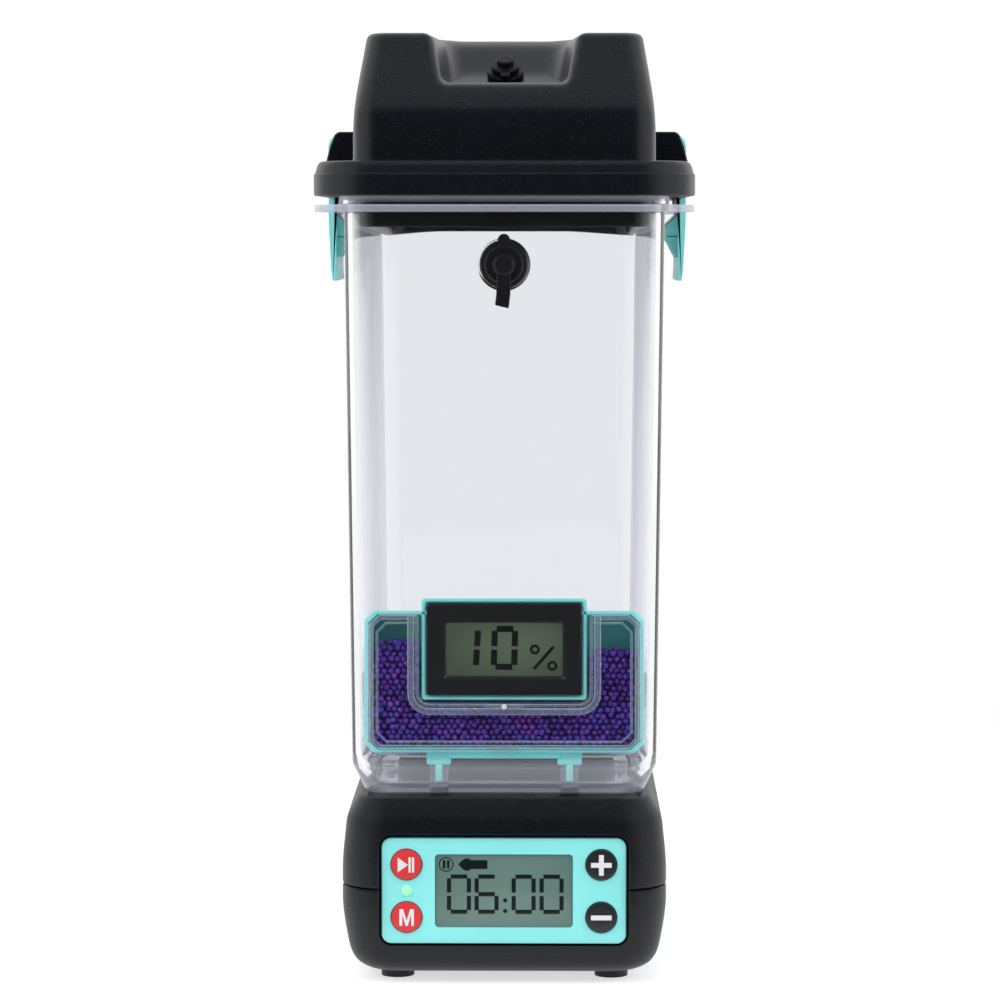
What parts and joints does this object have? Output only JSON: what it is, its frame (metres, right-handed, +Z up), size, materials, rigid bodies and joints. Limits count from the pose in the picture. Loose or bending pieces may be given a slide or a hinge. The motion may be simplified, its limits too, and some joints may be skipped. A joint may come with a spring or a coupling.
{
  "type": "filament dryer box",
  "caption": "Clear upright tub with a latched hollow lid, spool rollers and a front desiccant box with hygrometer, standing on a heated air dock with a clock display.",
  "frame": {"origin": "centre of the box's footprint, on the ground under the feet", "axes": "+Z up, -Y the way the clock display faces, +X to the right seen from the front"},
  "size_m": [0.1188, 0.2526, 0.2944],
  "materials": {
    "black_plastic": "fine moulded texture, satin black",
    "lid_plastic": "fine moulded texture, satin black",
    "turquoise_plastic": "smooth satin turquoise",
    "latch_plastic": "smooth satin turquoise",
    "clear_plastic": "clear polished moulding with a slight lavender tint",
    "display_grey": "grey-green liquid crystal behind glossy film",
    "button_red": "smooth red with a white symbol",
    "button_black": "smooth black with a white symbol",
    "status_green": "translucent green light pipe",
    "circuit_board": "green solder mask",
    "cable_grey": "flat grey ribbon",
    "lead_red": "red lead insulation",
    "fan_plastic": "glass-filled black",
    "duct_plastic": "heat-proof off-white",
    "heater_ceramic": "heat-proof ceramic frame",
    "heater_aluminium": "folded fins",
    "steel": "plain turned steel",
    "black_rubber": "matte silicone rubber",
    "seal_silicone": "soft grey silicone",
    "valve_plastic": "smooth off-white",
    "roller_plastic": "smooth dark grey",
    "silica_gel": "translucent purple beads"
  },
  "bodies": {
    "dock": {"lower_shell": "black_plastic", "upper_shell": "black_plastic", "control_panel": "turquoise_plastic", "clock_display": "display_grey", "display_module": "fan_plastic", "status_light": "status_green", "control_board": "circuit_board", "ribbon_cable": "cable_grey", "main_board": "circuit_board", "power_leads": "lead_red", "fan_housing": "fan_plastic", "air_duct": "duct_plastic", "heater_frame": "heater_ceramic", "heater_fins": "heater_aluminium", "temperature_probe": "steel", "port_gaskets": "black_rubber", "power_socket": "fan_plastic", "rubber_feet": "black_rubber", "dock_screws": "steel"},
    "fan_rotor": {"fan_impeller": "fan_plastic"},
    "start_button": {"start_button": "button_red"},
    "mode_button": {"mode_button": "button_red"},
    "plus_button": {"plus_button": "button_black"},
    "minus_button": {"minus_button": "button_black"},
    "tub": {"tub": "clear_plastic", "roller_cradle": "clear_plastic", "roller_axles": "steel", "valve_cages": "clear_plastic", "front_port_fitting": "black_plastic", "supply_valve_spring": "steel", "return_valve_spring": "steel"},
    "front_roller": {"front_roller": "roller_plastic", "front_roller_bearings": "steel"},
    "rear_roller": {"rear_roller": "roller_plastic", "rear_roller_bearings": "steel"},
    "supply_valve": {"supply_valve": "valve_plastic", "supply_valve_seal": "black_rubber"},
    "return_valve": {"return_valve": "valve_plastic", "return_valve_seal": "black_rubber"},
    "front_port_plug": {"front_port_plug": "black_rubber"},
    "desiccant_box": {"desiccant_tray": "turquoise_plastic", "desiccant_cover": "clear_plastic", "silica_beads": "silica_gel", "hygrometer_case": "button_black", "hygrometer_display": "display_grey", "hygrometer_board": "circuit_board", "button_cells": "steel"},
    "lid": {"lid_shell": "lid_plastic", "lid_seal": "seal_silicone", "lid_port_fitting": "lid_plastic", "latch_pins": "steel"},
    "lid_port_plug": {"lid_port_plug": "black_rubber"},
    "left_latch": {"left_latch": "latch_plastic"},
    "right_latch": {"right_latch": "latch_plastic"}
  },
  "joints": [
    {"name": "box_lift", "type": "slide", "parent": "dock", "child": "tub", "axis": [0, 0, 1], "range_m": [0, 0.08]},
    {"name": "lid_lift", "type": "slide", "parent": "tub", "child": "lid", "axis": [0, 0, 1], "range_m": [0, 0.06]},
    {"name": "left_latch_swing", "type": "hinge", "parent": "lid", "child": "left_latch", "pos_m": [-0.0557, 0, 0.2614], "axis": [0, 1, 0], "range_deg": [0, 150]},
    {"name": "right_latch_swing", "type": "hinge", "parent": "lid", "child": "right_latch", "pos_m": [0.0557, 0, 0.2614], "axis": [0, -1, 0], "range_deg": [0, 150]},
    {"name": "lid_plug_pull", "type": "slide", "parent": "lid", "child": "lid_port_plug", "axis": [0, -0.5474, 0.8368], "range_m": [0, 0.012]},
    {"name": "front_plug_pull", "type": "slide", "parent": "tub", "child": "front_port_plug", "axis": [0, -1, 0], "range_m": [0, 0.015]},
    {"name": "desiccant_lift", "type": "slide", "parent": "tub", "child": "desiccant_box", "axis": [0, 0, 1], "range_m": [0, 0.05]},
    {"name": "front_roller_spin", "type": "hinge", "parent": "tub", "child": "front_roller", "pos_m": [0, -0.041, 0.0719], "axis": [1, 0, 0], "continuous": true},
    {"name": "rear_roller_spin", "type": "hinge", "parent": "tub", "child": "rear_roller", "pos_m": [0, 0.049, 0.0719], "axis": [1, 0, 0], "continuous": true},
    {"name": "supply_valve_close", "type": "slide", "parent": "tub", "child": "supply_valve", "axis": [0, 0, -1], "range_m": [0, 0.004], "deforming": ["supply_valve_spring"]},
    {"name": "return_valve_close", "type": "slide", "parent": "tub", "child": "return_valve", "axis": [0, 0, -1], "range_m": [0, 0.004], "deforming": ["return_valve_spring"]},
    {"name": "fan_spin", "type": "hinge", "parent": "dock", "child": "fan_rotor", "pos_m": [-0.022, 0.084, 0.0195], "axis": [0, 0, 1], "continuous": true},
    {"name": "start_button_press", "type": "slide", "parent": "dock", "child": "start_button", "axis": [0, 1, 0], "range_m": [0, 0.0008], "stiffness_N_per_m": 600, "springref_m": -0.0006},
    {"name": "mode_button_press", "type": "slide", "parent": "dock", "child": "mode_button", "axis": [0, 1, 0], "range_m": [0, 0.0008], "stiffness_N_per_m": 600, "springref_m": -0.0006},
    {"name": "plus_button_press", "type": "slide", "parent": "dock", "child": "plus_button", "axis": [0, 1, 0], "range_m": [0, 0.0008], "stiffness_N_per_m": 600, "springref_m": -0.0006},
    {"name": "minus_button_press", "type": "slide", "parent": "dock", "child": "minus_button", "axis": [0, 1, 0], "range_m": [0, 0.0008], "stiffness_N_per_m": 600, "springref_m": -0.0006}
  ],
  "couplings": [
    {"joint": "left_latch_swing", "follows": "lid_lift", "rad_per_m": 43.633},
    {"joint": "right_latch_swing", "follows": "lid_lift", "rad_per_m": 43.633},
    {"joint": "supply_valve_close", "follows": "box_lift", "ratio": 0.05},
    {"joint": "return_valve_close", "follows": "box_lift", "ratio": 0.05}
  ]
}
